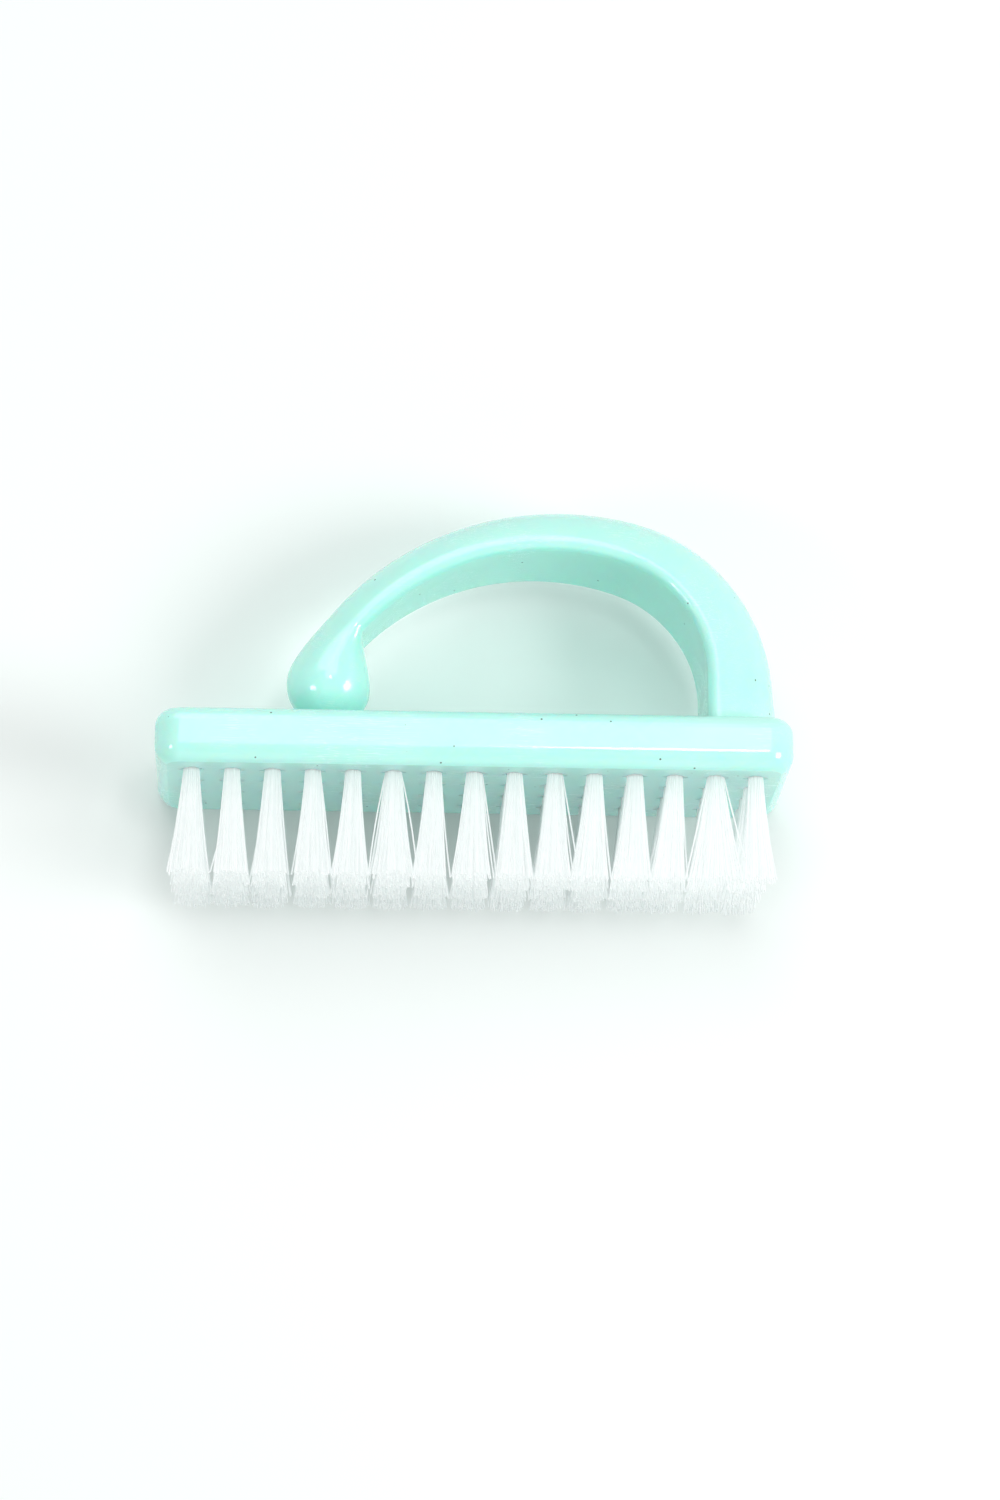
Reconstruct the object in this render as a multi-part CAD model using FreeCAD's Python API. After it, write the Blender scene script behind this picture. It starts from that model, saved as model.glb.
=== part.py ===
import FreeCAD, Part
import math
import os

from FreeCAD import Vector

# A nail brush in millimetres, lying on one long side. +X runs along the block to the handle's
# root, +Y from the bristle tips to the handle, +Z up out of the upper long side. The origin is
# under the middle of the brush, on the surface that it lies on.

# Field of tufts
tuft_columns = 15
tuft_rows = 4
tuft_pitch = 6.0            # between neighbouring tufts, along and across the block
end_margin = 5.5            # axis of the last column to the block's end
side_margin = 6.0           # axis of the outer rows to the block's long sides

# Block
block_thickness = 8.5
top_round = 2.6             # edge on the handle's side
rim_round = 3.2             # edge on the bristles' side
rim_trim = 0.3              # the flat underside cuts the rim's round short by this
corner_extra = 0.8          # plan corners are rounder than the rim by this

# Tuft holes, and the flat wire anchors that staple the tufts into them
hole_diameter = 2.5
hole_floor = 2.5            # plastic left over the end of a hole
anchor_bite = 0.6           # how far an anchor's ends cut into the wall of its hole
anchor_height = 1.8
anchor_thickness = 0.3
fold_height = 0.5           # filaments folded under an anchor

# Tufts
tuft_length = 16.0          # clear of the underside
tip_gap = 0.7               # between the trimmed ends of neighbouring tufts
tuft_clearance = 0.05       # bundle to the wall of its hole
tuft_strands = 8            # ridges of gathered filaments, with grooves that deepen to the tips
groove_share = 0.55         # bottom of the grooves at the tips, as a share of the tips' radius

# Handle: a D-shaped strap that rises from the block's end, arches over and swells into a knob
root_inset = 1.25           # block's end to the strap's outer side at the root
root_thickness = 11.2
root_width = 20.0
arch_thickness = 8.3        # half way along the strap
neck_thickness = 6.1
neck_width = 12.5
strap_edge_round = 1.5      # edges of the flat inner face
shoulder_radius = 18.8      # radii of the inner face
arch_radius = 36.8
shoulder_turn = math.radians(72.5)
strap_stations = 12

# Knob: the strap's inner line runs on to the middle of the ball
knob_radius = 6.45
knob_gap = 1.2              # knob to the top of the block
knob_swell = 8.7            # length over which the neck swells into the ball
knob_tilt = math.radians(27.9)      # section through the ball's middle, from the block's plane
knob_stations = 5
knob_edge_share = 0.8       # edge rounds grow to this share of the way to the ball's radius
ball_join_angles = [math.radians(-3), math.radians(1.5), math.radians(6)]

# Cutters reach this far past the faces that they open
overrun = 1.0
match_tolerance = 0.001
height_samples = 400

# Sizes that follow
tip_diameter = tuft_pitch - tip_gap
corner_radius = rim_round + corner_extra
block_length = (tuft_columns - 1) * tuft_pitch + 2 * end_margin
block_width = (tuft_rows - 1) * tuft_pitch + 2 * side_margin
hole_depth = block_thickness - hole_floor
anchor_length = hole_diameter + 2 * anchor_bite
middle = block_width / 2

# The hook's inner line: a straight leg, the shoulder's arc and the arch's arc, each tangent to
# the next. The leg is as long as the knob needs to clear the block.
hook_turn = math.pi - knob_tilt
arch_growth = arch_radius - shoulder_radius
arch_drop = arch_growth * math.sin(shoulder_turn)
root_face = block_length / 2 - root_inset - root_thickness
leg_height = knob_gap + knob_radius + arch_drop - arch_radius * math.sin(hook_turn)
shoulder_end = leg_height + shoulder_radius * shoulder_turn
hook_length = shoulder_end + arch_radius * (hook_turn - shoulder_turn)
strap_length = hook_length - knob_swell
swell_share = knob_swell / strap_length
neck_slope = root_thickness - 4 * arch_thickness + 3 * neck_thickness


def hook_point(walked):
    """X, height over the block and turn of the hook's inner line, this far from the root."""
    if walked <= leg_height:
        return root_face, walked, 0
    centre_x = root_face - shoulder_radius
    centre_height = leg_height
    radius = shoulder_radius
    turn = (walked - leg_height) / shoulder_radius
    if walked > shoulder_end:
        centre_x -= arch_growth * math.cos(shoulder_turn)
        centre_height -= arch_drop
        radius = arch_radius
        turn = shoulder_turn + (walked - shoulder_end) / arch_radius
    return centre_x + radius * math.cos(turn), centre_height + radius * math.sin(turn), turn


def strap_thickness(share):
    """Parabola through the thickness at the root, half way and at the neck."""
    return (root_thickness * (2 * share - 1) * (share - 1) + arch_thickness * 4 * share * (1 - share)
            + neck_thickness * share * (2 * share - 1))


def strap_half_width(share):
    """The strap narrows slowly at the root and faster towards the neck."""
    return (root_width + (neck_width - root_width) * share ** 2) / 2


def strap_outer_height(share):
    """Height of the strap's outer face over the block at a share of its length."""
    _, height, turn = hook_point(share * strap_length)
    return height + strap_thickness(share) * math.sin(turn)


handle_height = max(strap_outer_height(step / height_samples) for step in range(height_samples + 1))
overall_height = tuft_length + block_thickness + handle_height
tip_plane = -overall_height / 2
underside = tip_plane + tuft_length
block_top = underside + block_thickness
hole_end = underside + hole_depth
anchor_seat = hole_end - fold_height - anchor_height


def edges_on(shape, height):
    """Edges that lie wholly in the plane at this Y."""
    return [edge for edge in shape.Edges
            if all(abs(vertex.Y - height) < match_tolerance for vertex in edge.Vertexes)]


def edges_along(shape, length):
    """Edges that run this far along Y."""
    return [edge for edge in shape.Edges if abs(edge.BoundBox.YLength - length) < match_tolerance]


def make_block():
    """Rounded block whose flat underside cuts the lower rim short in a crisp line."""
    low = underside - rim_trim
    height = block_top - low
    block = Part.makeBox(block_length, height, block_width, Vector(-block_length / 2, low, 0))
    block = block.makeFillet(corner_radius, edges_along(block, height))
    block = block.makeFillet(top_round, edges_on(block, block_top))
    block = block.makeFillet(rim_round, edges_on(block, low))
    trim_corner = Vector(-block_length / 2 - overrun, low - overrun, -overrun)
    trim_size = (block_length + 2 * overrun, rim_trim + overrun, block_width + 2 * overrun)
    return block.cut(Part.makeBox(*trim_size, trim_corner))


def tangent_join(corner, edge, apex):
    """Where a round about a corner meets the arc that rises to apex on the middle line."""
    reach = abs(apex - corner.y)
    radius = (corner.x ** 2 + reach ** 2 - edge ** 2) / (2 * (reach - edge))
    centre = Vector(0, apex - math.copysign(radius, apex - corner.y), 0)
    return corner + (corner - centre).normalize() * edge


def round_joins(corner, edge, inner_join, crown_join):
    """Ends and middle of an edge round, from the inner face to the crown."""
    lean = (inner_join - corner) + (crown_join - corner)
    return [inner_join, corner + lean.normalize() * edge, crown_join]


def hook_wire(walked, crown, bulge, joins, sink=0):
    """Section of the hook: inner face, edge round, arc over the crown, edge round.

    crown and bulge are the reach to both sides of the inner line, and no bulge makes the inner
    face flat. joins hold the edge round's points, as X across the strap and Y outwards.
    """
    x, height, turn = hook_point(walked)
    base = Vector(x, block_top + height - sink, middle)
    outward = Vector(math.cos(turn), math.sin(turn), 0)
    right = [base + Vector(0, 0, join.x) + outward * join.y for join in joins]
    left = [base - Vector(0, 0, join.x) + outward * join.y for join in joins]
    face = Part.LineSegment(left[0], right[0])
    if bulge:
        face = Part.Arc(left[0], base - outward * bulge, right[0])
    crown_arc = Part.Arc(right[2], base + outward * crown, left[2])
    curves = [face, Part.Arc(*right), crown_arc, Part.Arc(*reversed(left))]
    return Part.Wire([curve.toShape() for curve in curves])


def strap_wire(share, sink=0):
    """D-shaped section at a share of the strap's length, sunk into the block by sink."""
    edge = strap_edge_round
    corner = Vector(strap_half_width(share) - edge, edge, 0)
    crown = strap_thickness(share)
    joins = round_joins(corner, edge, Vector(corner.x, 0, 0), tangent_join(corner, edge, crown))
    return hook_wire(share * strap_length, crown, 0, joins, sink)


def ease(start, slope, end, share):
    """Curve from start, leaving with slope, that ends level."""
    return (start * (2 * share ** 3 - 3 * share ** 2 + 1) + slope * (share ** 3 - 2 * share ** 2 + share)
            + end * (3 * share ** 2 - 2 * share ** 3))


def knob_wire(share):
    """Section between the neck and the ball: the crown runs on while the inner face bulges."""
    crown = ease(neck_thickness, neck_slope * swell_share, knob_radius, share)
    half_width = ease(neck_width / 2, (neck_width - root_width) * swell_share, knob_radius, share)
    bulge = knob_radius * math.sin(math.pi / 2 * share)
    edge = strap_edge_round + (knob_radius - strap_edge_round) * knob_edge_share * share
    corner = Vector(half_width - edge, strap_edge_round * (1 - share), 0)
    joins = round_joins(corner, edge, tangent_join(corner, edge, -bulge), tangent_join(corner, edge, crown))
    return hook_wire(strap_length + knob_swell * share, crown, bulge, joins)


def ball_wire():
    """Circle through the middle of the ball, split like the sections before it."""
    joins = [Vector(math.cos(angle), math.sin(angle), 0) * knob_radius for angle in ball_join_angles]
    return hook_wire(hook_length, knob_radius, knob_radius, joins)


def make_handle():
    """Strap lofted along the hook, the neck that swells from it, and half a ball on the end."""
    strap_wires = [strap_wire(0, block_thickness / 2)]
    strap_wires += [strap_wire(step / strap_stations) for step in range(strap_stations + 1)]
    knob_wires = [strap_wire(1)]
    knob_wires += [knob_wire(step / knob_stations) for step in range(1, knob_stations)]
    knob_wires.append(ball_wire())
    x, height, turn = hook_point(hook_length)
    ball_middle = Vector(x, block_top + height, middle)
    onwards = Vector(-math.sin(turn), math.cos(turn), 0)
    half_ball = Part.makeSphere(knob_radius, ball_middle, onwards, 0, 90, 360)
    return [Part.makeLoft(strap_wires, True, False), Part.makeLoft(knob_wires, True, False), half_ball]


def tuft_places():
    """X of each column with the Z of its rows."""
    first_x = -(tuft_columns - 1) * tuft_pitch / 2
    rows = [side_margin + row * tuft_pitch for row in range(tuft_rows)]
    return [(first_x + column * tuft_pitch, rows) for column in range(tuft_columns)]


def anchor_box(x, z, low, high):
    """Box over an anchor's length and thickness, between two heights."""
    corner = Vector(x - anchor_length / 2, low, z - anchor_thickness / 2)
    return Part.makeBox(anchor_length, high - low, anchor_thickness, corner)


def make_anchor(x, z):
    """Flat wire staple across the hole, over the fold of the filaments."""
    return anchor_box(x, z, anchor_seat, anchor_seat + anchor_height)


def make_hole(x, z):
    """Blind hole with the slits that the anchor's ends cut on their way in."""
    mouth = Vector(x, underside - overrun, z)
    bore = Part.makeCylinder(hole_diameter / 2, hole_depth + overrun, mouth, Vector(0, 1, 0))
    return bore.fuse(anchor_box(x, z, underside - overrun, anchor_seat + anchor_height))


def ring(x, y, z, ridge, groove):
    """Corners of a bundle's outline, by turns on a ridge and in a groove."""
    corners = []
    for side in range(2 * tuft_strands):
        turn = math.pi * side / tuft_strands
        radius = groove if side % 2 else ridge
        corners.append(Vector(x + radius * math.cos(turn), y, z + radius * math.sin(turn)))
    return corners


def flat_face(corners):
    """Flat face inside a closed line through the corners."""
    return Part.Face(Part.makePolygon(corners + corners[:1]))


def make_tuft(x, z):
    """Bundle that fills its hole round the anchor and flares in strands to its trimmed tips."""
    root_radius = hole_diameter / 2 - tuft_clearance
    tip_radius = tip_diameter / 2
    root = ring(x, hole_end, z, root_radius, root_radius)
    mouth = ring(x, underside, z, root_radius, root_radius)
    tips = ring(x, tip_plane, z, tip_radius, tip_radius * groove_share)
    faces = [flat_face(root[::-1]), flat_face(tips)]
    for side in range(2 * tuft_strands):
        before = side - 1
        ridge, groove = (before, side) if side % 2 else (side, before)
        faces.append(flat_face([root[before], root[side], mouth[side], mouth[before]]))
        faces.append(flat_face([mouth[before], mouth[side], tips[ridge]]))
        faces.append(flat_face([mouth[groove], tips[side], tips[before]]))
    return Part.Solid(Part.Shell(faces)).cut(make_anchor(x, z))


def make_body():
    """Block and handle in one moulding, with the holes for the tufts."""
    body = make_block().fuse(make_handle()).removeSplitter()
    return body.cut([make_hole(x, z) for x, rows in tuft_places() for z in rows])


def make_pieces():
    """Every node's shape by its name."""
    pieces = {"brush_body": make_body()}
    for number, (x, rows) in enumerate(tuft_places(), start=1):
        pieces[f"tuft_column_{number:02d}"] = Part.makeCompound([make_tuft(x, z) for z in rows])
        pieces[f"anchor_column_{number:02d}"] = Part.makeCompound([make_anchor(x, z) for z in rows])
    return pieces


os.makedirs("parts", exist_ok=True)
for name, shape in make_pieces().items():
    shape.exportStep(f"parts/{name}.step")
    print(f"{name}: {len(shape.Solids)} solids, {shape.Volume:.1f} cubic mm, valid {shape.isValid()}")
print(f"tips {tip_plane:.3f}, underside {underside:.3f}, block top {block_top:.3f}")
print(f"overall height {overall_height:.3f}, leg {leg_height:.3f}")
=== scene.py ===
import math
import random

import bmesh
import bpy
from mathutils import Matrix, Vector


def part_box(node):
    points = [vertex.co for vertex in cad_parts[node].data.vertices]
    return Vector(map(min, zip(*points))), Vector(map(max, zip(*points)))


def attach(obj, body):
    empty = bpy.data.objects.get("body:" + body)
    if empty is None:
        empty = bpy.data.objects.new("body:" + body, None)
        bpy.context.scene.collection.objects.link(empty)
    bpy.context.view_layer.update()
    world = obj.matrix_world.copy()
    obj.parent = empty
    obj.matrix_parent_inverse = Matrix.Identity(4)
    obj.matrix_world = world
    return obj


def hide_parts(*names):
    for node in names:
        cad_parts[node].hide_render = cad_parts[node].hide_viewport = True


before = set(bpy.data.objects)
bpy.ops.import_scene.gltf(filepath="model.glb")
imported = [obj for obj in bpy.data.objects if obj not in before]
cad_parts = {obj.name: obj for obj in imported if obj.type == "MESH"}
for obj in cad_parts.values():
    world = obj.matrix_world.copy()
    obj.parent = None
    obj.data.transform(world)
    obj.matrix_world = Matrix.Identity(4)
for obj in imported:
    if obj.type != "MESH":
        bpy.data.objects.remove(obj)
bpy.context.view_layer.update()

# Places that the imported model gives, in metres
body_low, body_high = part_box("brush_body")
underside = body_low.y
block_width = body_high.z
column_names = sorted(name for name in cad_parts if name.startswith("tuft_column"))
anchor_names = sorted(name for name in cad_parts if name.startswith("anchor_column"))
column_boxes = [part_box(name) for name in column_names]
column_middles = [(low.x + high.x) / 2 for low, high in column_boxes]
tuft_pitch = column_middles[1] - column_middles[0]
tuft_rows = 4
tip_radius = (column_boxes[0][1].x - column_boxes[0][0].x) / 2
tip_plane = column_boxes[0][0].y
row_middles = [column_boxes[0][0].z + tip_radius + row * tuft_pitch for row in range(tuft_rows)]

# Bristles, with lengths in metres
filaments_per_tuft = 84
filament_radius = 0.000122
filament_sides = 5
filament_segments = 5
filament_sharp_angle = math.radians(60)
bundle_radius = 0.00103
reach_into_hole = 0.0012
trim_scatter = 0.00025
tip_scatter = 0.0003
golden_turn = math.pi * (3 - math.sqrt(5))

# Share of a filament's spread that grows evenly from its foot, while the rest grows faster to the tip
even_flare = 0.64

# Shares of the tip scatter: what every filament has, what a wild one adds, and the bow half way.
# The higher the rarity, the fewer filaments are wild
least_scatter = 0.7
wild_scatter = 2.2
wild_rarity = 6.0
bow_scatter = 0.45

# What is added to a column's seed for each random draw of its filaments
tip_draws = (101.0, 202.0)
bow_draws = (303.0, 404.0)
trim_draw = 505.0
tone_draw = 606.0

# Front row as it stands in the picture: how wide each tuft's tips spread, as a share of the plain
# flare, and how far the tips lean along the block in millimetres
front_spread = [1.12, 0.98, 0.98, 1.06, 1.06, 1.22, 1.04, 1.16, 1.10, 1.14, 1.14, 1.10, 1.0, 1.62, 0.98]
front_lean = [-0.3, 0.1, -0.1, -0.1, -0.4, -0.1, -0.6, -0.2, -0.1, -0.2, -0.6, -0.5, -1.1, 0.1, 0.3]

# Deep rows: limits of the spread, limits of the lean in millimetres, and the lean that every column
# past a middle one adds
deep_spread = (0.98, 1.16)
deep_lean = (-0.4, 0.4)
deep_lean_growth = 0.22
deep_lean_column = 8

# How far the tips stand above or below their row, in millimetres
tuft_tip_rise = (-0.3, 0.3)
stray_tip_rise = 0.6

# Single filaments of the front row that stand away from their tuft: column, foot beside the
# tuft's axis, tip beside it and bow half way, in millimetres along the block
stray_filaments = [
    (2, -0.9, -3.4, 0.6), (4, 0.9, 3.1, 0.3), (6, -0.9, -3.6, -0.4), (6, 0.8, 3.7, 0.5),
    (10, 0.9, 3.5, 0.4), (14, 1.0, 5.2, 0.3), (14, -0.9, -4.6, -0.3), (8, 1.0, 3.3, 0.1),
    (12, -0.8, -3.2, 0.2), (1, -0.9, -3.3, 0.1),
]


def new_object(name, data):
    """Object in the scene that carries this data."""
    made = bpy.data.objects.new(name, data)
    bpy.context.scene.collection.objects.link(made)
    return made


def settled(piece):
    """Mesh of a piece, once its modifiers are worked into it."""
    mesh = bpy.data.meshes.new_from_object(piece.evaluated_get(bpy.context.evaluated_depsgraph_get()))
    piece.modifiers.clear()
    piece.data = mesh
    return mesh


def add_node(tree, kind, inputs=None, **settings):
    """New node with its settings, and inputs that are either sockets to link or plain values."""
    node = tree.nodes.new(kind)
    for name, value in settings.items():
        setattr(node, name, value)
    for key, value in (inputs or {}).items():
        if isinstance(value, bpy.types.NodeSocket):
            tree.links.new(value, node.inputs[key])
        else:
            node.inputs[key].default_value = value
    return node


def number(tree, operation, first, second=0.0):
    """One step of arithmetic."""
    return add_node(tree, "ShaderNodeMath", {0: first, 1: second}, operation=operation).outputs[0]


def vector_sum(tree, *terms):
    """Terms added up as vectors."""
    total = terms[0]
    for term in terms[1:]:
        total = add_node(tree, "ShaderNodeVectorMath", {0: total, 1: term}).outputs[0]
    return total


def scaled(tree, vector, factor):
    """Vector times a number."""
    node = add_node(tree, "ShaderNodeVectorMath", {0: vector, "Scale": factor}, operation="SCALE")
    return node.outputs[0]


def along_and_up(tree, along, height, up):
    """Vector from its parts along the block, towards the handle and up."""
    return add_node(tree, "ShaderNodeCombineXYZ", {0: along, 1: height, 2: up}).outputs[0]


def chance(tree, low, high, seed):
    """Even random number for every filament."""
    node = add_node(tree, "FunctionNodeRandomValue", {2: low, 3: high, "Seed": seed}, data_type="FLOAT")
    return node.outputs[1]


def wander(tree, seed, draws):
    """Random step along the block and up for every filament, at most 1 either way."""
    along, up = [chance(tree, -1.0, 1.0, number(tree, "ADD", seed, draw)) for draw in draws]
    return along_and_up(tree, along, 0.0, up)


def kept_value(tree, name, kind="FLOAT"):
    """Value that was stored under a name."""
    return add_node(tree, "GeometryNodeInputNamedAttribute", {"Name": name}, data_type=kind).outputs[0]


def kept_vector(tree, name):
    """Vector that was stored under a name."""
    return kept_value(tree, name, "FLOAT_VECTOR")


def keep_value(tree, geometry, name, value, kind="FLOAT"):
    """Geometry that carries a value under a name."""
    inputs = {"Geometry": geometry, "Name": name, "Value": value}
    return add_node(tree, "GeometryNodeStoreNamedAttribute", inputs, data_type=kind).outputs[0]


def bristle_tree():
    """Tree that grows the filaments of a column of tufts from a point on each tuft's axis."""
    tree = bpy.data.node_groups.new("bristles", "GeometryNodeTree")
    sockets = [("Tufts", "Geometry"), ("Bundle radius", "Float"), ("Tip radius", "Float"),
               ("Filament radius", "Float"), ("Root height", "Float"), ("Tip height", "Float"),
               ("Trim scatter", "Float"), ("Tip scatter", "Float"), ("Seed", "Int"), ("Nylon", "Material")]
    for name, kind in sockets:
        tree.interface.new_socket(name, in_out="INPUT", socket_type=f"NodeSocket{kind}")
    tree.interface.new_socket("Filaments", in_out="OUTPUT", socket_type="NodeSocketGeometry")
    given = add_node(tree, "NodeGroupInput").outputs
    seed = given["Seed"]
    place = add_node(tree, "GeometryNodeInputPosition").outputs[0]

    # One point for each filament, set out like seeds in a sunflower round the tuft's axis
    count = kept_value(tree, "count", "INT")
    copies = add_node(tree, "GeometryNodeDuplicateElements",
                      {"Geometry": given["Tufts"], "Amount": count}, domain="POINT")
    order = number(tree, "ADD", copies.outputs["Duplicate Index"], 0.5)
    reach = number(tree, "SQRT", number(tree, "DIVIDE", order, count))
    turn = number(tree, "MULTIPLY", order, golden_turn)
    turn = number(tree, "ADD", turn, kept_value(tree, "twist"))
    spoke = along_and_up(tree, number(tree, "COSINE", turn), 0.0, number(tree, "SINE", turn))
    spoke = scaled(tree, spoke, reach)
    bundle = number(tree, "MULTIPLY", given["Bundle radius"], kept_value(tree, "gather"))
    foot = vector_sum(tree, scaled(tree, spoke, bundle), kept_vector(tree, "foot_shift"))

    # Tips: the tuft's flare and lean, with a scatter that is wider for a few filaments
    spread = number(tree, "MULTIPLY", given["Tip radius"], kept_value(tree, "spread"))
    wild = number(tree, "POWER", chance(tree, 0.0, 1.0, seed), wild_rarity)
    wild = number(tree, "ADD", least_scatter, number(tree, "MULTIPLY", wild, wild_scatter))
    scatter = number(tree, "MULTIPLY", given["Tip scatter"], wild)
    tip = vector_sum(tree, scaled(tree, spoke, spread), kept_vector(tree, "tip_shift"),
                     scaled(tree, wander(tree, seed, tip_draws), scatter))
    bend = number(tree, "MULTIPLY", given["Tip scatter"], bow_scatter)
    bow = vector_sum(tree, scaled(tree, wander(tree, seed, bow_draws), bend),
                     kept_vector(tree, "bow_shift"))
    trim = chance(tree, 0.0, 1.0, number(tree, "ADD", seed, trim_draw))
    trim = number(tree, "MULTIPLY", given["Trim scatter"], trim)
    points = copies.outputs["Geometry"]
    for name, value in [("foot", foot), ("tip", tip), ("bow", bow)]:
        points = keep_value(tree, points, name, value, "FLOAT_VECTOR")
    points = keep_value(tree, points, "end", number(tree, "ADD", given["Tip height"], trim))
    tone = chance(tree, 0.0, 1.0, number(tree, "ADD", seed, tone_draw))
    points = keep_value(tree, points, "tone", tone)
    points = keep_value(tree, points, "axis", place, "FLOAT_VECTOR")

    # A filament of unit size, which is then drawn out between its foot and its tip
    unit = {"Vertices": filament_sides, "Side Segments": filament_segments, "Radius": 1.0, "Depth": 1.0}
    rod = add_node(tree, "GeometryNodeMeshCylinder", unit, fill_type="NGON").outputs["Mesh"]
    rod = keep_value(tree, rod, "rod", place, "FLOAT_VECTOR")
    rods = add_node(tree, "GeometryNodeInstanceOnPoints", {"Points": points, "Instance": rod}).outputs[0]
    rods = add_node(tree, "GeometryNodeRealizeInstances", {"Geometry": rods}).outputs[0]
    across = add_node(tree, "ShaderNodeSeparateXYZ", {0: kept_vector(tree, "rod")}).outputs
    walked = number(tree, "ADD", across[2], 0.5)
    left = number(tree, "SUBTRACT", 1.0, walked)
    eased = number(tree, "ADD", even_flare, number(tree, "MULTIPLY", walked, 1 - even_flare))
    eased = number(tree, "MULTIPLY", walked, eased)
    hump = number(tree, "MULTIPLY", number(tree, "MULTIPLY", walked, left), 4.0)
    height = number(tree, "ADD", number(tree, "MULTIPLY", given["Root height"], left),
                    number(tree, "MULTIPLY", kept_value(tree, "end"), walked))
    ring = scaled(tree, along_and_up(tree, across[0], 0.0, across[1]), given["Filament radius"])
    level = {0: kept_vector(tree, "axis"), 1: (1, 0, 1)}
    axis = add_node(tree, "ShaderNodeVectorMath", level, operation="MULTIPLY").outputs[0]
    drawn = vector_sum(tree, axis, along_and_up(tree, 0.0, height, 0.0), ring,
                       scaled(tree, kept_vector(tree, "foot"), number(tree, "SUBTRACT", 1.0, eased)),
                       scaled(tree, kept_vector(tree, "tip"), eased),
                       scaled(tree, kept_vector(tree, "bow"), hump))
    rods = add_node(tree, "GeometryNodeSetPosition", {"Geometry": rods, "Position": drawn}).outputs[0]
    dressed = {"Geometry": rods, "Material": given["Nylon"]}
    rods = add_node(tree, "GeometryNodeSetMaterial", dressed).outputs[0]
    add_node(tree, "NodeGroupOutput", {0: rods})
    return tree


def tuft_points(column, dice):
    """Points of one column, with what each tuft or stray filament does: shifts are in millimetres."""
    rows = []
    for row, z in enumerate(row_middles):
        if row == len(row_middles) - 1:
            spread = front_spread[column]
            lean = front_lean[column]
        else:
            spread = dice.uniform(*deep_spread)
            lean = dice.uniform(*deep_lean) - deep_lean_growth * max(0, column - deep_lean_column)
        rows.append({"z": z, "count": filaments_per_tuft, "spread": spread, "gather": 1.0,
                     "twist": dice.uniform(0, 6.28), "foot": 0.0, "tip": lean, "bow": 0.0,
                     "rise": dice.uniform(*tuft_tip_rise)})
    for stray_column, foot, tip, bow in stray_filaments:
        if stray_column == column + 1:
            rows.append({"z": row_middles[-1], "count": 1, "spread": 0.0, "gather": 0.0, "twist": 0.0,
                         "foot": foot, "tip": tip, "bow": bow, "rise": stray_tip_rise})
    return rows


def bristle_column(column, tree, nylon):
    """One column of tufts as a plain mesh of filaments."""
    dice = random.Random(40 + column)
    rows = tuft_points(column, dice)
    name = f"bristles_{column + 1:02d}"
    mesh = bpy.data.meshes.new(name)
    mesh.from_pydata([(column_middles[column], 0, row["z"]) for row in rows], [], [])
    for key, kind in [("count", "INT"), ("spread", "FLOAT"), ("gather", "FLOAT"), ("twist", "FLOAT")]:
        stored = mesh.attributes.new(key, kind, "POINT")
        for place, row in zip(stored.data, rows):
            place.value = row[key]
    for key, up in [("foot", 0.0), ("tip", 1.0), ("bow", 0.0)]:
        stored = mesh.attributes.new(f"{key}_shift", "FLOAT_VECTOR", "POINT")
        for place, row in zip(stored.data, rows):
            place.vector = (row[key] / 1000, 0, up * row["rise"] / 1000)
    piece = new_object(name, mesh)
    grow = piece.modifiers.new("grow", "NODES")
    grow.node_group = tree
    sizes = {"Bundle radius": bundle_radius, "Tip radius": tip_radius, "Filament radius": filament_radius,
             "Root height": underside + reach_into_hole, "Tip height": tip_plane,
             "Trim scatter": trim_scatter, "Tip scatter": tip_scatter,
             "Seed": 11 + 7 * column, "Nylon": nylon}
    for key, value in sizes.items():
        grow[tree.interface.items_tree[key].identifier] = value
    grown = settled(piece)
    grown.name = name
    grown.shade_smooth()
    grown.set_sharp_from_angle(angle=filament_sharp_angle)
    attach(piece, "root")
    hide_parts(column_names[column])
    return piece


# Hook handle in millimetres, over the block's top and from the middle of its width
block_thickness = 8.5
root_outside = 46.25
root_thickness = 11.2
arch_thickness = 8.3
neck_thickness = 6.1
root_width = 20.0
neck_width = 12.5
edge_round = 1.5
shoulder_radius = 18.8
arch_radius = 36.8
shoulder_turn = math.radians(72.5)
knob_radius = 6.45
knob_gap = 1.2
knob_swell = 8.7
hook_turn = math.pi - math.radians(27.9)
knob_edge_share = 0.8
ball_joins = [math.radians(-3), math.radians(1.5), math.radians(6)]

# How finely the handle is drawn, along it and round its section
strap_steps = 130
knob_steps = 36
ball_steps = 24
inner_steps = 14
edge_steps = 8
crown_steps = 40

arch_growth = arch_radius - shoulder_radius
arch_drop = arch_growth * math.sin(shoulder_turn)
root_face = root_outside - root_thickness
leg_height = knob_gap + knob_radius + arch_drop - arch_radius * math.sin(hook_turn)
shoulder_end = leg_height + shoulder_radius * shoulder_turn
hook_length = shoulder_end + arch_radius * (hook_turn - shoulder_turn)
strap_length = hook_length - knob_swell
swell_share = knob_swell / strap_length
block_top = underside + block_thickness / 1000

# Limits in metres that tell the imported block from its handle
merge_gap = 1e-7
level_gap = 1e-6
meeting_gap = 0.00006
block_edge_drop = 0.0027
root_begin = 0.034
body_sharp_angle = math.radians(28)


def hook_point(walked):
    """Place along the block, height and turn of the handle's inner line, this far from its root."""
    if walked <= leg_height:
        return root_face, walked, 0.0
    if walked <= shoulder_end:
        turn = (walked - leg_height) / shoulder_radius
        return (root_face - shoulder_radius + shoulder_radius * math.cos(turn),
                leg_height + shoulder_radius * math.sin(turn), turn)
    turn = shoulder_turn + (walked - shoulder_end) / arch_radius
    centre = root_face - shoulder_radius - arch_growth * math.cos(shoulder_turn)
    return centre + arch_radius * math.cos(turn), leg_height - arch_drop + arch_radius * math.sin(turn), turn


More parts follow.
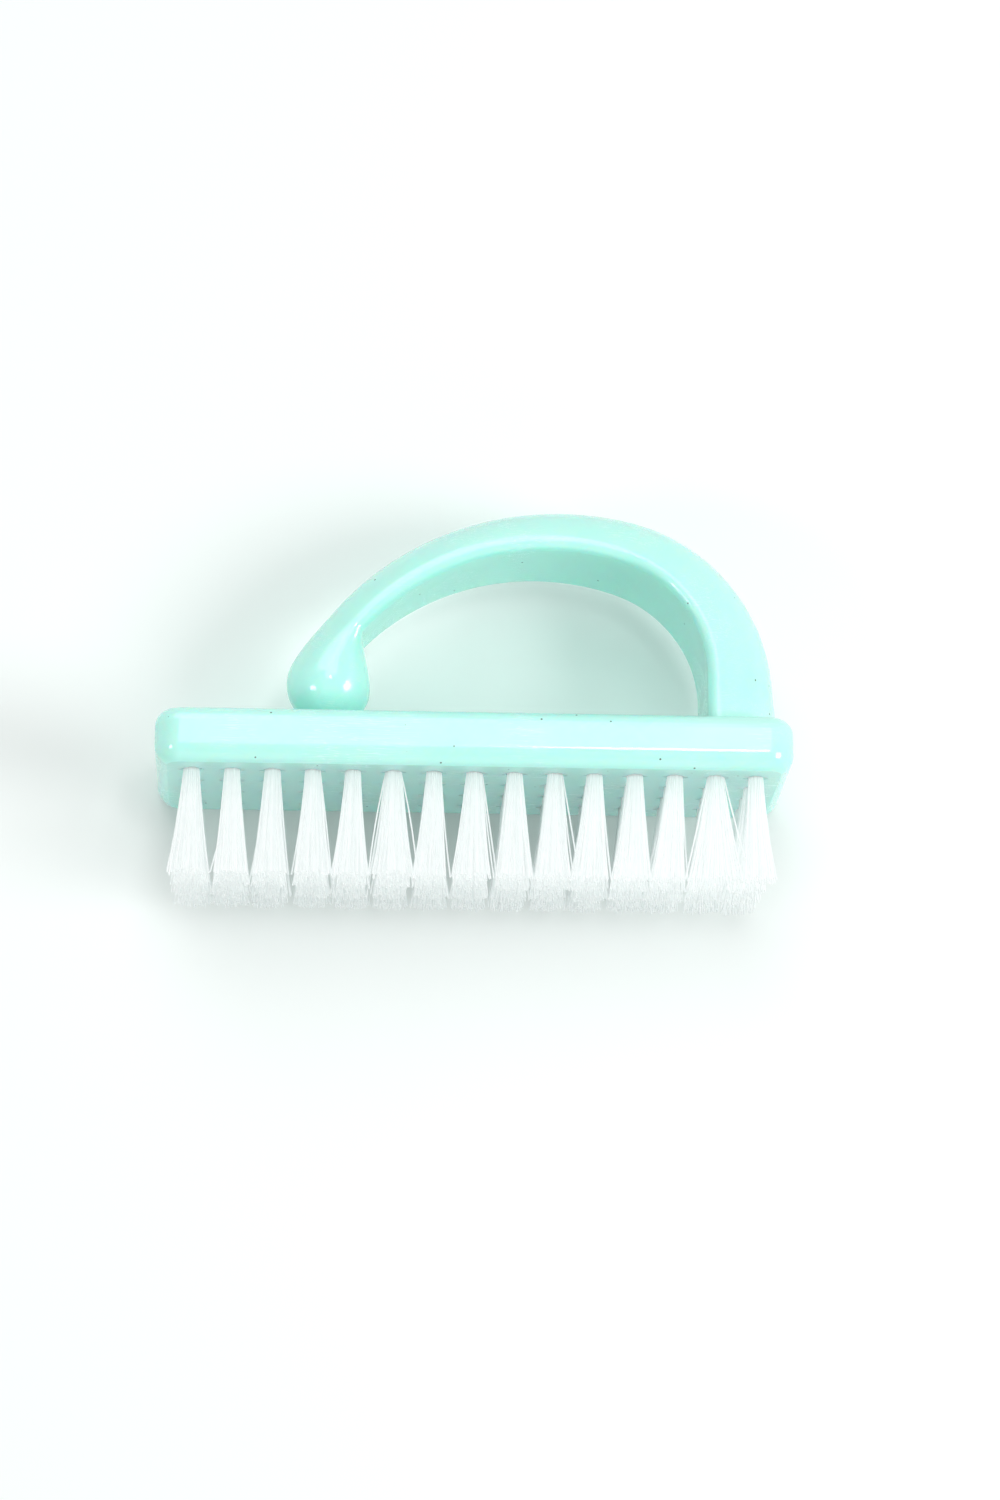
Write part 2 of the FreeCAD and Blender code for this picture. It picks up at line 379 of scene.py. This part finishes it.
def arc(first, through, last, steps):
    """Points from first to just before last, on the circle or line through all three."""
    (ax, ay), (bx, by), (cx, cy) = first, through, last
    bend = 2 * (ax * (by - cy) + bx * (cy - ay) + cx * (ay - by))
    if abs(bend) < 1e-9:
        return [(ax + (cx - ax) * step / steps, ay + (cy - ay) * step / steps) for step in range(steps)]
    a, b, c = ax * ax + ay * ay, bx * bx + by * by, cx * cx + cy * cy
    ux = (a * (by - cy) + b * (cy - ay) + c * (ay - by)) / bend
    uy = (a * (cx - bx) + b * (ax - cx) + c * (bx - ax)) / bend
    radius = math.hypot(ax - ux, ay - uy)
    begin = math.atan2(ay - uy, ax - ux)
    sweep = (math.atan2(cy - uy, cx - ux) - begin) % math.tau
    if (math.atan2(by - uy, bx - ux) - begin) % math.tau > sweep:
        sweep -= math.tau
    angles = [begin + sweep * step / steps for step in range(steps)]
    return [(ux + radius * math.cos(angle), uy + radius * math.sin(angle)) for angle in angles]


def section_outline(crown, bulge, joins):
    """Outline across the handle: inner face, edge round, crown and edge round."""
    mirrored = [(-x, y) for x, y in joins]
    points = arc(mirrored[0], (0.0, -bulge), joins[0], inner_steps)
    points += arc(*joins, edge_steps)
    points += arc(joins[2], (0.0, crown), mirrored[2], crown_steps)
    points += arc(*reversed(mirrored), edge_steps)
    return points


def placed(walked, outline, sink=0.0):
    """Outline set across the handle's line, in metres."""
    x, height, turn = hook_point(walked)
    ring = []
    for across, out in outline:
        along = x + out * math.cos(turn)
        up = height - sink + out * math.sin(turn)
        ring.append(Vector((along / 1000, block_top + up / 1000, block_width / 2 + across / 1000)))
    return ring


def tangent_join(corner, edge, apex):
    """Where a round about a corner meets the arc that rises to apex on the middle line."""
    reach = abs(apex - corner.y)
    radius = (corner.x ** 2 + reach ** 2 - edge ** 2) / (2 * (reach - edge))
    centre = Vector((0, apex - math.copysign(radius, apex - corner.y)))
    return corner + (corner - centre).normalized() * edge


def edge_joins(corner, edge, inner_join, crown_join):
    """Ends and middle of an edge round, from the inner face to the crown."""
    lean = (inner_join - corner) + (crown_join - corner)
    return [tuple(inner_join), tuple(corner + lean.normalized() * edge), tuple(crown_join)]


def strap_section(share):
    """D-shaped outline at a share of the strap's length."""
    half_width = (root_width + (neck_width - root_width) * share ** 2) / 2
    crown = (root_thickness * (2 * share - 1) * (share - 1) + arch_thickness * 4 * share * (1 - share)
             + neck_thickness * share * (2 * share - 1))
    corner = Vector((half_width - edge_round, edge_round))
    joins = edge_joins(corner, edge_round, Vector((corner.x, 0)), tangent_join(corner, edge_round, crown))
    return section_outline(crown, 0.0, joins)


def ease(start, slope, end, share):
    """Curve from start, leaving with slope, that ends level."""
    return (start * (2 * share ** 3 - 3 * share ** 2 + 1) + slope * (share ** 3 - 2 * share ** 2 + share)
            + end * (3 * share ** 2 - 2 * share ** 3))


def knob_section(share):
    """Outline between the neck and the ball, whose inner face bulges more and more."""
    slope = (root_thickness - 4 * arch_thickness + 3 * neck_thickness) * swell_share
    crown = ease(neck_thickness, slope, knob_radius, share)
    half_width = ease(neck_width / 2, (neck_width - root_width) * swell_share, knob_radius, share)
    bulge = knob_radius * math.sin(math.pi / 2 * share)
    edge = edge_round + (knob_radius - edge_round) * knob_edge_share * share
    corner = Vector((half_width - edge, edge_round * (1 - share)))
    joins = edge_joins(corner, edge, tangent_join(corner, edge, -bulge), tangent_join(corner, edge, crown))
    return section_outline(crown, bulge, joins)


def hook_rings():
    """Rings of points along the handle, from inside the block to the end of the ball, and its pole."""
    rings = [placed(0, strap_section(0), block_thickness / 2)]
    for step in range(strap_steps + 1):
        share = step / strap_steps
        rings.append(placed(share * strap_length, strap_section(share)))
    for step in range(1, knob_steps):
        share = step / knob_steps
        rings.append(placed(strap_length + knob_swell * share, knob_section(share)))
    joins = [(knob_radius * math.cos(angle), knob_radius * math.sin(angle)) for angle in ball_joins]
    circle = placed(hook_length, section_outline(knob_radius, knob_radius, joins))
    x, height, turn = hook_point(hook_length)
    middle = Vector((x / 1000, block_top + height / 1000, block_width / 2))
    onwards = Vector((-math.sin(turn), math.cos(turn), 0)) * (knob_radius / 1000)
    for step in range(ball_steps):
        angle = math.pi / 2 * step / ball_steps
        wide = math.cos(angle)
        ahead = onwards * math.sin(angle)
        rings.append([middle + (point - middle) * wide + ahead for point in circle])
    return rings, middle + onwards


def on_outline(point, outline):
    """Whether a point of the block lies on the handle's outline where the two meet."""
    across = Vector((point.x, point.z))
    for first, second in zip(outline, outline[1:] + outline[:1]):
        start = Vector((first.x, first.z))
        run = Vector((second.x, second.z)) - start
        share = min(1.0, max(0.0, (across - start).dot(run) / run.length_squared))
        if (across - start - run * share).length < meeting_gap:
            return True
    return False


def block_shape():
    """Block with its tuft holes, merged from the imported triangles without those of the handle."""
    shape = bmesh.new()
    shape.from_mesh(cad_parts["brush_body"].data)
    bmesh.ops.remove_doubles(shape, verts=shape.verts, dist=merge_gap)
    outline = placed(0, strap_section(0))
    top_edge = block_top - block_edge_drop
    meeting = set()
    for vertex in shape.verts:
        if vertex.co.y > top_edge and vertex.co.x > root_begin and on_outline(vertex.co, outline):
            meeting.add(vertex)
    gone = []
    for face in shape.faces:
        over = any(vertex.co.y > block_top + level_gap for vertex in face.verts)
        if over or all(vertex in meeting for vertex in face.verts):
            gone.append(face)
    bmesh.ops.delete(shape, geom=gone, context="FACES")
    bmesh.ops.holes_fill(shape, edges=[edge for edge in shape.edges if edge.is_boundary])
    return shape


def smooth_body(plastic):
    """Body of one moulding: the block, and the handle drawn finely along its hook."""
    shape = block_shape()
    rings, pole = hook_rings()
    rows = [[shape.verts.new(point) for point in ring] for ring in rings]
    sides = len(rows[0])
    for row, following in zip(rows, rows[1:]):
        for side in range(sides):
            shape.faces.new((row[side - 1], row[side], following[side], following[side - 1]))
    tip = shape.verts.new(pole)
    for side in range(sides):
        shape.faces.new((rows[-1][side - 1], rows[-1][side], tip))
    shape.faces.new(rows[0][::-1])
    mesh = bpy.data.meshes.new("moulded_body")
    shape.to_mesh(mesh)
    shape.free()
    mesh.shade_smooth()
    mesh.set_sharp_from_angle(angle=body_sharp_angle)

    # The underside is flat between the holes, so its long thin triangles are shaded flat
    for face in mesh.polygons:
        if all(abs(mesh.vertices[corner].co.y - underside) < level_gap for corner in face.vertices):
            face.use_smooth = False
    mesh.materials.append(plastic)
    piece = new_object("moulded_body", mesh)
    weigh = piece.modifiers.new("weigh", "WEIGHTED_NORMAL")
    weigh.keep_sharp = True
    settled(piece)
    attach(piece, "root")
    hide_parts("brush_body")
    return piece


def noise(tree, place, scale, detail):
    """Smooth noise at a place."""
    inputs = {"Vector": place, "Scale": scale, "Detail": detail}
    return add_node(tree, "ShaderNodeTexNoise", inputs).outputs[0]


def ramp(tree, value, low, high, first=0.0, last=1.0, kind="LINEAR"):
    """Value that goes from first to last as another goes from low to high."""
    inputs = {0: value, 1: low, 2: high, 3: first, 4: last}
    return add_node(tree, "ShaderNodeMapRange", inputs, interpolation_type=kind).outputs[0]


def new_group(name, inputs, outputs):
    """Empty shader group with number sockets, and a vector socket for Place."""
    tree = bpy.data.node_groups.new(name, "ShaderNodeTree")
    for direction, names in [("INPUT", inputs), ("OUTPUT", outputs)]:
        for socket in names:
            kind = "NodeSocketVector" if socket == "Place" else "NodeSocketFloat"
            tree.interface.new_socket(socket, in_out=direction, socket_type=kind)
    given = add_node(tree, "NodeGroupInput").outputs
    out = add_node(tree, "NodeGroupOutput").inputs
    return tree, given, out


def tone_drift_group():
    """Slow change of tone over a surface, between 0 and 1."""
    tree, given, out = new_group("tone_drift", ["Place", "Scale", "Contrast"], ["Tone"])
    centred = number(tree, "SUBTRACT", noise(tree, given["Place"], given["Scale"], 2.0), 0.5)
    tone = number(tree, "ADD", number(tree, "MULTIPLY", centred, given["Contrast"]), 0.5)
    clamp = add_node(tree, "ShaderNodeClamp", {0: tone})
    tree.links.new(clamp.outputs[0], out["Tone"])
    return tree


# Scratches: turn and stretch of each set, half the width of a line in the noise that draws it, and
# the size and limits of the patches that hold them
scratch_sets = [(0.05, 0.035), (-0.22, 0.05)]
scratch_tilt = 0.1
scratch_width = 0.024
patch_scale = 90.0
patch_limits = (0.44, 0.58)

# Specks: where they begin and end to fade, as a share of their spacing
speck_fade = (0.045, 0.075)


def handling_marks_group():
    """Fine scratches along a piece and a few tiny dark specks, as masks."""
    tree, given, out = new_group("handling_marks", ["Place", "Scratch scale", "Speck scale", "Speck limit"],
                                 ["Scratches", "Specks"])
    lines = []
    for turn, stretch in scratch_sets:
        mapped = add_node(tree, "ShaderNodeMapping",
                          {"Vector": given["Place"], "Rotation": (scratch_tilt, turn, turn),
                           "Scale": (stretch, 1.0, 1.0)})
        drawn = noise(tree, mapped.outputs[0], given["Scratch scale"], 1.0)
        away = number(tree, "ABSOLUTE", number(tree, "SUBTRACT", drawn, 0.5))
        lines.append(ramp(tree, away, 0.0, scratch_width, 1.0, 0.0))
    patch = ramp(tree, noise(tree, given["Place"], patch_scale, 1.0), *patch_limits)
    both = number(tree, "MULTIPLY", number(tree, "MAXIMUM", *lines), patch)
    tree.links.new(both, out["Scratches"])
    cells = add_node(tree, "ShaderNodeTexVoronoi", {"Vector": given["Place"], "Scale": given["Speck scale"]})
    near = ramp(tree, cells.outputs["Distance"], *speck_fade, 1.0, 0.0)
    pick = add_node(tree, "ShaderNodeSeparateColor", {0: cells.outputs["Color"]})
    chosen = number(tree, "GREATER_THAN", pick.outputs[0], given["Speck limit"])
    tree.links.new(number(tree, "MULTIPLY", near, chosen), out["Specks"])
    return tree


tone_drift = tone_drift_group()
handling_marks = handling_marks_group()


def new_material(name, roughness, specular=0.5):
    """Material with its node tree, its Principled shader and the Object coordinates."""
    material = bpy.data.materials.new(name)
    material.use_nodes = True
    tree = material.node_tree
    shader = tree.nodes["Principled BSDF"]
    shader.inputs["Roughness"].default_value = roughness
    shader.inputs["Specular IOR Level"].default_value = specular
    place = add_node(tree, "ShaderNodeTexCoord").outputs["Object"]
    return material, tree, shader, place


def drift(tree, place, scale, contrast):
    """Tone from the shared drift group."""
    inputs = {"Place": place, "Scale": scale, "Contrast": contrast}
    return add_node(tree, "ShaderNodeGroup", inputs, node_tree=tone_drift).outputs["Tone"]


def marks(tree, place, scratch_scale, speck_scale, speck_limit):
    """Masks from the shared group of handling marks."""
    inputs = {"Place": place, "Scratch scale": scratch_scale, "Speck scale": speck_scale,
              "Speck limit": speck_limit}
    node = add_node(tree, "ShaderNodeGroup", inputs, node_tree=handling_marks)
    return node.outputs["Scratches"], node.outputs["Specks"]


def colour_mix(tree, share, first, second):
    """Colour between two others."""
    node = add_node(tree, "ShaderNodeMix", {0: share, 6: first, 7: second}, data_type="RGBA")
    return node.outputs[2]


def rougher(tree, shader, roughness, scratches, growth):
    """Roughness that grows on the scratches."""
    rough = number(tree, "ADD", roughness, number(tree, "MULTIPLY", scratches, growth))
    tree.links.new(rough, shader.inputs["Roughness"])


# Mint plastic: height of its waves and depth of its scratches in metres, how pale the scratches are,
# and how much of its light wanders below the surface
wave_height = 0.000022
wave_scale = 190.0
scratch_depth = 0.000007
scratch_paleness = 0.3
milkiness = 0.75

# The handle's foot runs on inside the block. From its middle height there, light wanders less up to
# the first distance and fully from the second, and fully again beside the foot
foot_height = block_top - 0.001
foot_fade = (0.002, 0.006)
foot_side_fade = (root_begin, 0.03)


def mint_plastic():
    """Glossy, slightly milky mint moulding with faint waves, scratches and specks."""
    roughness = 0.09
    material, tree, shader, place = new_material("mint_plastic", roughness, specular=0.75)
    scratches, specks = marks(tree, place, scratch_scale=2600.0, speck_scale=400.0, speck_limit=0.62)
    tone = drift(tree, place, scale=60.0, contrast=1.4)
    colour = colour_mix(tree, tone, (0.47, 0.89, 0.80, 1), (0.52, 0.91, 0.835, 1))
    worn = number(tree, "MULTIPLY", scratches, scratch_paleness)
    colour = colour_mix(tree, worn, colour, (0.85, 0.96, 0.94, 1))
    colour = colour_mix(tree, specks, colour, (0.10, 0.16, 0.13, 1))
    tree.links.new(colour, shader.inputs["Base Color"])
    rougher(tree, shader, roughness, scratches, growth=0.22)
    wave = number(tree, "MULTIPLY", noise(tree, place, wave_scale, 1.5), wave_height)
    relief = number(tree, "SUBTRACT", wave, number(tree, "MULTIPLY", scratches, scratch_depth))
    bump = add_node(tree, "ShaderNodeBump", {"Height": relief, "Strength": 1.0, "Distance": 1.0})
    tree.links.new(bump.outputs[0], shader.inputs["Normal"])
    along, height, _ = add_node(tree, "ShaderNodeSeparateXYZ", {0: place}).outputs
    height = number(tree, "ABSOLUTE", number(tree, "SUBTRACT", height, foot_height))
    clear = number(tree, "MAXIMUM", ramp(tree, height, *foot_fade), ramp(tree, along, *foot_side_fade))
    tree.links.new(number(tree, "MULTIPLY", clear, milkiness), shader.inputs["Subsurface Weight"])
    shader.inputs["Subsurface Radius"].default_value = (0.12, 1.0, 0.75)
    shader.inputs["Subsurface Scale"].default_value = 0.0025
    return material


# Share of the light that passes through each filament
passing_share = 0.96


def white_nylon():
    """Filaments that let most light through, each a little brighter or duller than the next."""
    material, tree, shader, place = new_material("white_nylon", 0.38)
    own = add_node(tree, "ShaderNodeAttribute", attribute_name="tone").outputs["Fac"]
    tone = number(tree, "ADD", own, drift(tree, place, scale=700.0, contrast=1.2))
    tone = number(tree, "MULTIPLY", tone, 0.5)
    colour = colour_mix(tree, tone, (0.84, 0.885, 0.89, 1), (0.97, 0.98, 0.98, 1))
    tree.links.new(colour, shader.inputs["Base Color"])
    path = add_node(tree, "ShaderNodeLightPath").outputs
    passing = number(tree, "MAXIMUM", path["Is Shadow Ray"], path["Is Diffuse Ray"])
    solid = number(tree, "SUBTRACT", 1.0, number(tree, "MULTIPLY", passing, passing_share))
    tree.links.new(solid, shader.inputs["Alpha"])
    return material


def anchor_wire():
    """Flat drawn brass wire."""
    material, tree, shader, place = new_material("anchor_wire", 0.35)
    scratches, _ = marks(tree, place, scratch_scale=5200.0, speck_scale=170.0, speck_limit=1.0)
    tone = drift(tree, place, scale=900.0, contrast=1.6)
    colour = colour_mix(tree, tone, (0.62, 0.48, 0.24, 1), (0.78, 0.64, 0.36, 1))
    tree.links.new(colour, shader.inputs["Base Color"])
    rougher(tree, shader, 0.3, scratches, growth=0.25)
    shader.inputs["Metallic"].default_value = 1.0
    return material


# Pale backdrop, as the camera, reflections and clear pieces see it
backdrop_colour = (0.93, 0.96, 0.95, 1)

# Ground: its radius, and how far from the brush it begins and ends to turn into the backdrop
ground_radius = 4.0
ground_fade = (0.15, 0.55)


def seen_ray(tree):
    """Mask of the rays that show the backdrop itself rather than its light."""
    path = add_node(tree, "ShaderNodeLightPath").outputs
    mirrored = number(tree, "MAXIMUM", path["Is Glossy Ray"], path["Is Transmission Ray"])
    return number(tree, "MAXIMUM", path["Is Camera Ray"], mirrored)


def pale_paper():
    """Matt pale ground that turns into the backdrop far from the brush."""
    material, tree, shader, place = new_material("pale_paper", 0.9, specular=0.1)
    tone = drift(tree, place, scale=9.0, contrast=0.8)
    colour = colour_mix(tree, tone, (0.90, 0.93, 0.92, 1), (0.92, 0.94, 0.93, 1))
    reach = add_node(tree, "ShaderNodeVectorMath", {0: place}, operation="LENGTH").outputs["Value"]
    far = number(tree, "MULTIPLY", ramp(tree, reach, *ground_fade, kind="SMOOTHSTEP"), seen_ray(tree))
    tree.links.new(colour_mix(tree, far, colour, (0, 0, 0, 1)), shader.inputs["Base Color"])
    shader.inputs["Emission Color"].default_value = backdrop_colour
    tree.links.new(far, shader.inputs["Emission Strength"])
    return material


def make_floor():
    """Wide round ground under the brush."""
    mesh = bpy.data.meshes.new("ground")
    disc = bmesh.new()
    bmesh.ops.create_circle(disc, cap_ends=True, segments=96, radius=ground_radius)
    disc.to_mesh(mesh)
    disc.free()
    mesh.materials.append(pale_paper())
    floor = new_object("ground", mesh)


def make_world():
    """Even pale surroundings that light the brush softly."""
    world = bpy.data.worlds.new("surroundings")
    world.use_nodes = True
    bpy.context.scene.world = world
    tree = world.node_tree
    tree.nodes.clear()
    fill = add_node(tree, "ShaderNodeBackground", {"Color": (0.94, 1.0, 0.98, 1), "Strength": 0.34})
    seen = add_node(tree, "ShaderNodeBackground", {"Color": backdrop_colour, "Strength": 1.0})
    both = add_node(tree, "ShaderNodeMixShader", {0: seen_ray(tree), 1: fill.outputs[0], 2: seen.outputs[0]})
    add_node(tree, "ShaderNodeOutputWorld", {"Surface": both.outputs[0]})


# Camera: above the brush, leaning towards the bristles and turned a little
camera_azimuth = math.radians(-9.04)
camera_elevation = math.radians(73.69)
camera_roll = math.radians(9.63)
camera_distance = 0.7
camera_lens = 111.2
camera_target = Vector((0.00424, underside + 0.00638, block_width / 2))

# Round lamps: degrees to the right of the camera's axis and above it, distance, size and power
lamps = {
    "left_lamp": (-44, -7, 0.75, 0.2, 0.85),
    "front_fill": (0, -56, 0.9, 0.8, 1.15),
    "back_fill": (-10, 60, 0.9, 0.65, 2.2),
    "top_sheet": (4, 32, 0.9, 0.5, 1.2),
    "right_lamp": (51, -2, 0.62, 0.27, 1.85),
}

# Narrow lamp along the block, for the gleam on its upper long side
strip_place = Vector((0.084, 0.03, 0.62))
strip_target = Vector((0.02, underside, block_width))
strip_size = (0.1, 0.06)
strip_power = 0.34


def camera_axes():
    """Right, up and backward directions of the camera."""
    flat = math.cos(camera_elevation)
    back = Vector((math.sin(camera_azimuth) * flat, -math.cos(camera_azimuth) * flat,
                   math.sin(camera_elevation)))
    level = Vector((math.cos(camera_azimuth), math.sin(camera_azimuth), 0))
    upright = back.cross(level)
    right = level * math.cos(camera_roll) + upright * math.sin(camera_roll)
    return right, back.cross(right), back


def make_camera():
    """Camera at the picture's place and turn."""
    data = bpy.data.cameras.new("camera")
    data.sensor_width = 36.0
    data.lens = camera_lens
    data.clip_start = 0.01
    data.clip_end = 50.0
    camera = new_object("camera", data)
    right, up, back = camera_axes()
    turned = Matrix((right, up, back)).transposed().to_4x4()
    camera.matrix_world = Matrix.Translation(camera_target + back * camera_distance) @ turned
    bpy.context.scene.camera = camera


def new_lamp(name, shape, place, backward, power):
    """Area lamp at a place, shining away from the backward direction."""
    data = bpy.data.lights.new(name, "AREA")
    data.shape = shape
    data.energy = power
    lamp = new_object(name, data)
    lamp.location = place
    lamp.rotation_mode = "QUATERNION"
    lamp.rotation_quaternion = backward.to_track_quat("Z", "Y")
    return data


def make_lamps():
    """Soft round lamps about the camera's axis, and the narrow one."""
    right, up, back = camera_axes()
    for name, (sideways, upward, distance, size, power) in lamps.items():
        side = math.radians(sideways)
        lift = math.radians(upward)
        direction = right * math.sin(side) + up * math.sin(lift) + back * math.cos(side) * math.cos(lift)
        place = camera_target + direction.normalized() * distance
        new_lamp(name, "DISK", place, direction, power).size = size
    strip = new_lamp("gleam_strip", "RECTANGLE", strip_place, strip_place - strip_target, strip_power)
    strip.size, strip.size_y = strip_size


bpy.context.scene.view_settings.view_transform = "Standard"

# Light has to pass through many filaments, one behind the other
bpy.context.scene.cycles.transparent_max_bounces = 32

smooth_body(mint_plastic())
nylon = white_nylon()
growth = bristle_tree()
for column in range(len(column_names)):
    bristle_column(column, growth, nylon)
wire = anchor_wire()
for name in anchor_names:
    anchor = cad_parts[name]
    anchor.data.materials.clear()
    anchor.data.materials.append(wire)

make_floor()
make_world()
make_camera()
make_lamps()
